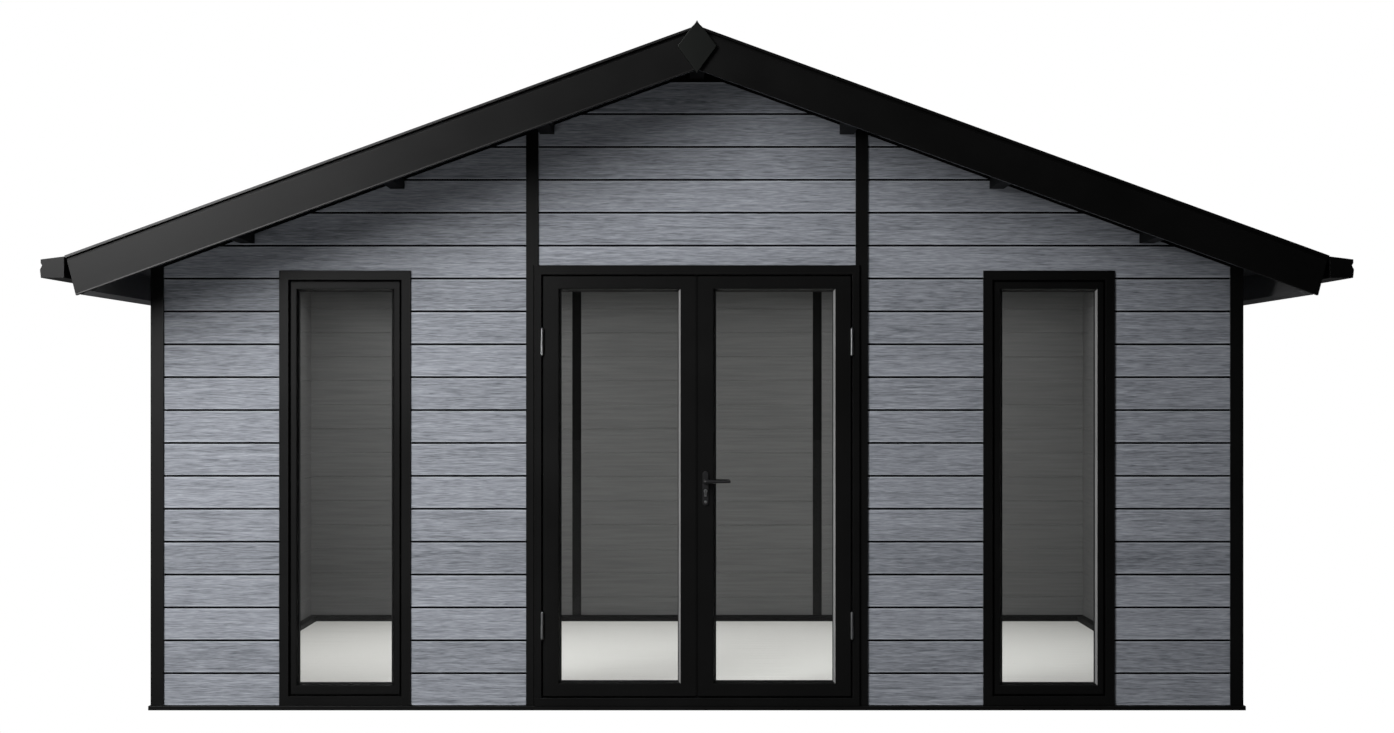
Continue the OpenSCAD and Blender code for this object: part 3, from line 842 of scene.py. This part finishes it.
BACK_BEAD_SECTION = [
    (INNER, 0, 42.2), (INNER, 0, 58), (INNER, 2, 58), (INNER, 10, 47), (INNER, 10, 42.2)]
BACK_GASKET_SECTION = [
    (INNER, 10.2, 42.1), (INNER, 10.2, 46.5), (INNER, 12.4, 45), (INNER, 13, 42.1)]


def glazing(name, opening, front, body, paint_bead_highlight):
    middle = (opening[0] + opening[2]) / 2
    for part, section, material in (
            ("bead", BEAD_SECTION, joinery_coat), ("back_bead", BACK_BEAD_SECTION, joinery_coat),
            ("gasket", GASKET_SECTION, rubber), ("back_gasket", BACK_GASKET_SECTION, rubber)):
        ring = mitred_ring(f"{part}_{name}", opening, opening, front, section, material)
        # Painted highlight: the right bead's face turned left to the key light takes the grey
        # coat.
        if part == "bead" and paint_bead_highlight:
            ring.data.materials.append(bead_highlight_coat)
            for polygon in ring.data.polygons:
                faces_key_light = polygon.normal.x < -0.5 and polygon.center.x > middle
                polygon.material_index = int(faces_key_light)
        attach(ring, body, "joinery_metal")


print("bead section points:", len(BEAD_SECTION))

# %% [markdown]
# ## The windows
# Each window is a frame, a sash set 12 mm back behind a dark groove, and a pane held by beads on
# both sides. The three CAD solids of a window lie one inside another, so each gives the next
# one's inner rectangle.

# %% Windows
window_sets = zip(islands("window_frames"), islands("window_sashes"), islands("window_panes"))
window_pieces = {"frame": [], "sash": []}
for (frame_box, sash_box, pane_box), side_name in zip(window_sets, ("left", "right")):
    frame_face, sash_face, pane_face = face_of(frame_box), face_of(sash_box), face_of(pane_box)
    window_pieces["frame"].append(mitred_ring(
        "window_frame_" + side_name, frame_face, sash_face, frame_box[0].y,
        FRAME_SECTION, joinery_coat))
    window_pieces["sash"].append(mitred_ring(
        "window_sash_" + side_name, sash_face, pane_face, sash_box[0].y,
        SASH_SECTION, joinery_coat))
    # Only the right window's bead carries the painted highlight.
    glazing("window_" + side_name, pane_face, sash_box[0].y, "building", side_name == "right")
for kind, replaced in (("frame", "window_frames"), ("sash", "window_sashes")):
    for piece in window_pieces[kind]:
        attach(piece, "building", "joinery_metal", replaced)
print("window pane", [round(v, 3) for v in pane_box[1] - pane_box[0]])

# %% [markdown]
# ## The door leaves
# A leaf is the same kind of ring, 60 mm thick. Its back corners are drawn in by 3 mm, which is
# what lets the meeting edges swing past each other. A pile seal on each meeting edge and a
# rubber flap on the left leaf close the gap between them.

# %% Door leaves
# (name, mm behind and past the meeting edge, mm from the front face to its near and far sides)
PILE_SEAL = ("pile_seal", -1.8, 3, 30, 36)
MEETING_SEAL = ("meeting_seal", -1, 7, 1.8, 8)
SEAL_SHORT = 4 * MM
for side_name in ("left", "right"):
    body = side_name + "_door"
    leaf_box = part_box("door_leaf_" + side_name)
    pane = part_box("door_glass_" + side_name)
    leaf = mitred_ring("leaf_" + side_name, face_of(leaf_box), face_of(pane), leaf_box[0].y,
                       LEAF_SECTION, joinery_coat)
    attach(leaf, body, "joinery_metal", "door_leaf_" + side_name)
    glazing("door_" + side_name, face_of(pane), leaf_box[0].y, body, True)
    meeting_x = leaf_box[1].x if side_name == "left" else leaf_box[0].x
    inward = 1 if side_name == "left" else -1
    seals = (PILE_SEAL, MEETING_SEAL) if side_name == "left" else (PILE_SEAL,)
    for kind, back, reach, near, far in seals:
        seal_x = sorted((meeting_x + inward * back * MM, meeting_x + inward * reach * MM))
        low = (seal_x[0], leaf_box[0].y + near * MM, leaf_box[0].z + SEAL_SHORT)
        high = (seal_x[1], leaf_box[0].y + far * MM, leaf_box[1].z - SEAL_SHORT)
        # The seals take the dull dark coat, not rubber: painted shade that keeps the gap between
        # the leaves a dark line.
        attach(block(f"{kind}_{side_name}", low, high, shadow_coat), body, "joinery_metal")
    print("leaf_" + side_name, "with", len(seals), "seals")

# %% [markdown]
# ## Glass
# The panes keep their CAD solids: their shape is already right, so only the material changes.

# %% Glass on the CAD panes
GLASS_NODES = ("window_panes", "door_glass_left", "door_glass_right")
for node_name in GLASS_NODES:
    pane_mesh = nodes[node_name].data
    pane_mesh.materials.clear()
    pane_mesh.materials.append(glass)
print("glass on", len(GLASS_NODES), "CAD nodes")

# %% [markdown]
# ## Finials
# A finial is a kite-shaped plate cut from board and painted a very dark green. Its top is drawn
# in to a spike by two hollow curves, its shoulders are rounded, and its long foot runs to a
# point over the joint of the two barge boards.

# %% Finials
FINIAL_EASE = 2.5 * MM
FINIAL_HALF = (
    (0, 0), (2.5, 5), (6.5, 12), (12.5, 20), (22, 28.5), (76, 101), (81.5, 107), (84, 112.5),
    (83, 118), (79.5, 123.5), (2, 228.5), (0, 230))


def finial_outline(low, high):
    middle, scale = (low.x + high.x) / 2, (high.z - low.z) / FINIAL_HALF[-1][1]
    right = [(middle + across * scale, high.z - down * scale) for across, down in FINIAL_HALF]
    return right + [(2 * middle - x, z) for x, z in reversed(right[1:-1])]


finial_boxes = sorted(islands("finials"), key=lambda box: box[0].y)
for end_name, (low, high) in zip(("front", "rear"), finial_boxes):
    finial = prism("finial_" + end_name, finial_outline(low, high), 1, low.y, high.y, finial_coat)
    attach(soften(finial, FINIAL_EASE), "building", "roof_metal", "finials")
print("finials", round((high.z - low.z) / MM), "mm high")

# %% [markdown]
# ## Gutters
# The gutter is an ogee section pressed from aluminium: a straight back, a rounded belly and a
# narrow neck under the front lip. Strap hangers cross its mouth beside each bracket and tie the
# lip to the back. One strap is made and repeated along the building.

# %% Gutters, brackets and hangers
for part in ("gutter_left", "gutter_right", "gutter_brackets"):
    eased(part, roof_coat, "roof_metal", 1 * MM)

bracket_ys = sorted({round(low.y, 4) for low, high in islands("gutter_brackets")})
HANGER_T = 3 * MM
HANGER_W = 20 * MM
HANGER_DOWN = 17 * MM
BACK_LEG = 2 * MM
LIP_IN = 5 * MM
for side, side_name in ((-1, "left"), (1, "right")):
    gutter_low, gutter_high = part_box("gutter_" + side_name)
    back = min(abs(gutter_low.x), abs(gutter_high.x)) + BACK_LEG
    lip = max(abs(gutter_low.x), abs(gutter_high.x)) - LIP_IN
    top = gutter_high.z - HANGER_DOWN
    ends = sorted((side * back, side * lip))
    hanger_y = bracket_ys[0] + 5 * MM
    hangers = block("gutter_hangers_" + side_name, (ends[0], hanger_y, top - HANGER_T),
                    (ends[1], hanger_y + HANGER_W, top), roof_coat)
    repeated(hangers, len(bracket_ys), (0, bracket_ys[1] - bracket_ys[0], 0), roof_coat)
    attach(hangers, "building", "roof_metal")
print(len(bracket_ys), "hangers on each gutter")

# %% [markdown]
# ## Ridge cap fixings
# The cap is screwed down through its two legs every 400 mm with domed screws on a rubber washer,
# the usual fixing for a folded flashing. The screw is a short lathe-turned shape laid on the
# slope, repeated along the ridge.

# %% Ridge screws
SCREW_STEP = 400 * MM
SCREW_DOWN = 100 * MM
END_MARGIN = 100 * MM
DOME_SIDES = 16
cap_low, cap_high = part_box("ridge_cap")
screw_count = int((cap_high.y - cap_low.y - 2 * END_MARGIN) / SCREW_STEP) + 1
first_screw = (cap_low.y + cap_high.y - (screw_count - 1) * SCREW_STEP) / 2


def dome(shape, radius, height, matrix):
    """A low dome on a flat foot, its axis along Z before the matrix is applied."""
    rings = ((radius, 0), (radius, height * 0.35),
             (radius * 0.8, height * 0.75), (radius * 0.4, height))
    turns = [2 * math.pi * k / DOME_SIDES for k in range(DOME_SIDES)]
    loft(shape, [[matrix @ Vector((size * math.cos(t), size * math.sin(t), level))
                  for t in turns] for size, level in rings])


for side, side_name in ((-1, "left"), (1, "right")):
    x, z = slope_point(SCREW_DOWN, 0, side)
    on_slope = Matrix.Translation((x, first_screw, z)) @ Matrix.Rotation(side * pitch, 4, "Y")
    mesh = mesh_from("ridge_screw", lambda shape: dome(shape, 7 * MM, 4 * MM, on_slope))
    screws = object_from("ridge_screws_" + side_name, mesh, roof_coat)
    repeated(screws, screw_count, (0, SCREW_STEP, 0), roof_coat)
    attach(screws, "building", "roof_metal")
print(screw_count, "screws on each leg of the ridge cap")

# %% [markdown]
# ## Hinges
# Each door hangs on two lift-off hinges in brushed stainless steel, 12 mm thick. The fixed half
# carries the pin and the upper half drops over it. Small domed caps close both ends.

# %% Hinges
HINGE_HALF = 6 * MM
CAP_RADIUS = 5.4 * MM
for node_name, body in (("hinge_knuckles", "building"), ("door_hinges_left", "left_door"),
                        ("door_hinges_right", "right_door")):
    eased(node_name, steel, "steel", 0.6 * MM, body)
    upper = node_name != "hinge_knuckles"
    for index, (low, high) in enumerate(islands(node_name)):
        pin_x = low.x + HINGE_HALF if abs(low.x) < abs(high.x) else high.x - HINGE_HALF
        foot = Matrix.Translation((pin_x, low.y + HINGE_HALF, high.z if upper else low.z))
        facing = foot if upper else foot @ Matrix.Rotation(math.pi, 4, "X")
        mesh = mesh_from("hinge_cap", lambda shape: dome(shape, CAP_RADIUS, 4 * MM, facing))
        attach(object_from(f"{node_name}_cap_{index}", mesh, steel), body, "steel")
print("hinges", len(islands("hinge_knuckles")))

# %% [markdown]
# ## The handle
# Both faces of the right leaf carry a long plate with round ends. The lever is cast: it leaves a
# round rose, turns along the plate and tapers to a blunt tip. Below it sit the euro cylinder,
# with its keyway, and the slotted screw that holds the plate.

# %% Handle
GRIP = (
    (-8.6, 3.5, 3.5), (-7.4, 6, 6), (-4, 8.2, 8.2), (2, 8.9, 8.6), (14, 8.7, 7.4), (34, 8, 6.2),
    (98, 6.4, 5.2), (109, 5.9, 4.8), (112.6, 4.6, 3.8), (114, 2.2, 1.8))
LATHE_SIDES = 20
PLATE_EASE = 1.5 * MM
lever_low, lever_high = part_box("handle_lever")
lever_radius = (lever_high.z - lever_low.z) / 2
axis_x, axis_z = lever_low.x + lever_radius, (lever_low.z + lever_high.z) / 2


def lathe(shape, sections, turned):
    """Rings from (along, half height, half depth) in mm, closed at both ends."""
    turns = [2 * math.pi * k / LATHE_SIDES for k in range(LATHE_SIDES)]
    loft(shape, [[turned @ Vector((along * MM, deep * MM * math.cos(t), tall * MM * math.sin(t)))
                  for t in turns] for along, tall, deep in sections])


def smooth(piece):
    sides = [len(p.vertices) == 4 for p in piece.data.polygons]
    piece.data.polygons.foreach_set("use_smooth", sides)
    return piece


def stadium(low, high):
    """A plate's outline with round ends, as (x, z) points."""
    middle, radius = (low.x + high.x) / 2, (high.x - low.x) / 2
    points = []
    for centre_z, start in ((high.z - radius, 0), (low.z + radius, math.pi)):
        points += [(middle + radius * math.cos(start + math.pi * k / 12),
                    centre_z + radius * math.sin(start + math.pi * k / 12)) for k in range(13)]
    return points


for low, high in islands("handle_plates"):
    outside = low.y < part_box("door_leaf_right")[0].y
    name = "outer" if outside else "inner"
    plate = prism("handle_plate_" + name, stadium(low, high), 1, low.y, high.y, handle_coat)
    attach(soften(plate, PLATE_EASE), "right_door", "handle", "handle_plates")

    grip_y = lever_low.y + lever_radius if outside else lever_high.y - lever_radius
    face_y = low.y if outside else high.y
    inward = 1 if outside else -1
    at_axis = Matrix.Translation((axis_x, grip_y, axis_z))
    mesh = mesh_from("grip", lambda shape: lathe(shape, GRIP, at_axis))
    grip = smooth(object_from("lever_grip_" + name, mesh, handle_coat))
    attach(grip, "lever", "handle", "handle_lever")
    reach = abs(face_y - grip_y) / MM - 0.5
    neck = ((0, 8, 8), (reach - 8, 8, 8), (reach - 5, 9, 9),
            (reach - 4.5, 12.4, 12.4), (reach, 12.8, 12.8))
    turned = at_axis @ Matrix.Rotation(inward * math.radians(90), 4, "Z")
    mesh = mesh_from("neck", lambda shape: lathe(shape, neck, turned))
    attach(smooth(object_from("lever_neck_" + name, mesh, handle_coat)), "lever", "handle")

eased("lock_cylinder", steel, "steel", 0.5 * MM, "right_door")
screw_box, barrel_box = sorted(islands("lock_cylinder"), key=lambda box: box[0].z)
keyway_low = (axis_x - 1.1 * MM, barrel_box[0].y - 0.3 * MM, barrel_box[0].z + 5 * MM)
keyway_high = (axis_x + 1.1 * MM, barrel_box[0].y + 1 * MM, barrel_box[1].z - 5 * MM)
slot_z = (screw_box[0].z + screw_box[1].z) / 2
slot_low = (axis_x - 5 * MM, screw_box[0].y - 0.2 * MM, slot_z - 0.7 * MM)
slot_high = (axis_x + 5 * MM, screw_box[0].y + 1 * MM, slot_z + 0.7 * MM)
# The keyway and the screw slot are thin dark blocks on the steel faces: painted shade in place of
# the recesses.
for name, low, high in (("keyway", keyway_low, keyway_high), ("screw_slot", slot_low, slot_high)):
    attach(block(name, low, high, rubber), "right_door", "steel")
print("lever axis at", round(axis_x, 3), round(axis_z, 3))

# %% [markdown]
# ## Floor, light and backdrop
# A pale studio floor runs out to a white surround. The key light is a large soft box high on
# the left; its narrow spread fades the boards from left to right. The surround fills from above
# and behind, and is almost black in front, so that dark metal keeps its depth. In the room, three
# lamps under the eaves light the floor and a long one washes the rear wall behind the glass.
# The floor looks white to the camera, but gives back less light, and is dim in mirror images.

# %% Stage and lights
FLOOR_DIMMED = 0.7
KEY_AT, KEY_TARGET = (-4.4, -7.8, 5.0), (-1.3, -2, 0.3)
EAVES_H = 2.05


def stage_floor():
    material, tree, shader = new_material("studio_floor_white")
    shader.inputs["Base Color"].default_value = linear("#a4a4a4")
    shader.inputs["Roughness"].default_value = 0.9
    paper = add(tree, "ShaderNodeEmission", inputs={"Color": linear("#ffffff"), "Strength": 1.0})
    path = add(tree, "ShaderNodeLightPath")
    mix = add(tree, "ShaderNodeMixShader", inputs={
        0: path.outputs["Is Camera Ray"], 1: shader.outputs[0], 2: paper.outputs[0]})
    unlit = add(tree, "ShaderNodeEmission", inputs={"Color": linear("#000000")})
    dimmed = add(tree, "ShaderNodeMath", {"operation": "MULTIPLY"}, {
        0: path.outputs["Is Glossy Ray"], 1: FLOOR_DIMMED})
    no_mirror = add(tree, "ShaderNodeMixShader", inputs={
        0: dimmed.outputs[0], 1: mix.outputs[0], 2: unlit.outputs[0]})
    output = next(n for n in tree.nodes if n.type == "OUTPUT_MATERIAL")
    tree.links.new(no_mirror.outputs[0], output.inputs["Surface"])
    mesh = mesh_from("studio_floor", lambda shape: bmesh.ops.create_grid(
        shape, x_segments=1, y_segments=1, size=60, matrix=Matrix.Translation((0, 0, -1 * MM))))
    for polygon in mesh.polygons:
        if polygon.normal.z < 0:
            polygon.flip()
    floor_piece = object_from("studio_floor", mesh, material)


def soft_box(name, place, target, size, watts, spread=180):
    light = bpy.data.lights.new(name, "AREA")
    light.shape = "RECTANGLE"
    light.size, light.size_y = size
    light.energy = watts
    light.spread = math.radians(spread)
    lamp = bpy.data.objects.new(name, light)
    scene.collection.objects.link(lamp)
    lamp.location = place
    lamp.rotation_euler = (Vector(target) - Vector(place)).to_track_quat("-Z", "Y").to_euler()
    return lamp


def surround():
    world = bpy.data.worlds.new("studio")
    scene.world = world
    world.use_nodes = True
    tree = world.node_tree
    tree.nodes.clear()
    direction = add(tree, "ShaderNodeTexCoord").outputs["Generated"]
    split = add(tree, "ShaderNodeSeparateXYZ", inputs={"Vector": direction})
    behind = add(tree, "ShaderNodeMapRange", inputs={
        "Value": split.outputs["Y"], "From Min": -0.2, "From Max": 0.6,
        "To Min": 0.004, "To Max": 0.4})
    above = add(tree, "ShaderNodeMapRange", inputs={
        "Value": split.outputs["Z"], "From Min": 0.3, "From Max": 1.0,
        "To Min": 0.0, "To Max": 0.35})
    both = add(tree, "ShaderNodeMath", {"operation": "ADD"}, {
        0: behind.outputs["Result"], 1: above.outputs["Result"]})
    path = add(tree, "ShaderNodeLightPath")
    strength = add(tree, "ShaderNodeMix", inputs={
        "Factor": path.outputs["Is Camera Ray"], "A": both.outputs[0], "B": 1.0})
    background = add(tree, "ShaderNodeBackground", inputs={"Strength": strength.outputs[0]})
    background.inputs["Color"].default_value = linear("#ffffff")
    add(tree, "ShaderNodeOutputWorld", inputs={"Surface": background.outputs[0]})


stage_floor()
surround()
soft_box("key", KEY_AT, KEY_TARGET, (2.6, 5.6), 262, spread=108)
for lamp_name, x, y, size, watts in (
        ("room_light_left", -1.55, 0.1, (1.4, 2.9), 46),
        ("room_light_right", 1.55, 0.1, (1.4, 2.9), 37),
        ("room_light_middle", 0, 1.1, (2.2, 1.2), 10)):
    soft_box(lamp_name, (x, y, EAVES_H), (x, y, 0), size, watts)
soft_box("room_wash", (0, -1.7, 2.03), (0, 1.9, 1.83), (4.2, 0.2), 24)
for lamp in scene.objects:
    if lamp.type == "LIGHT":
        lamp.visible_transmission = lamp.visible_glossy = lamp.name == "key"
        lamp.visible_camera = False
scene.view_settings.view_transform = "Standard"
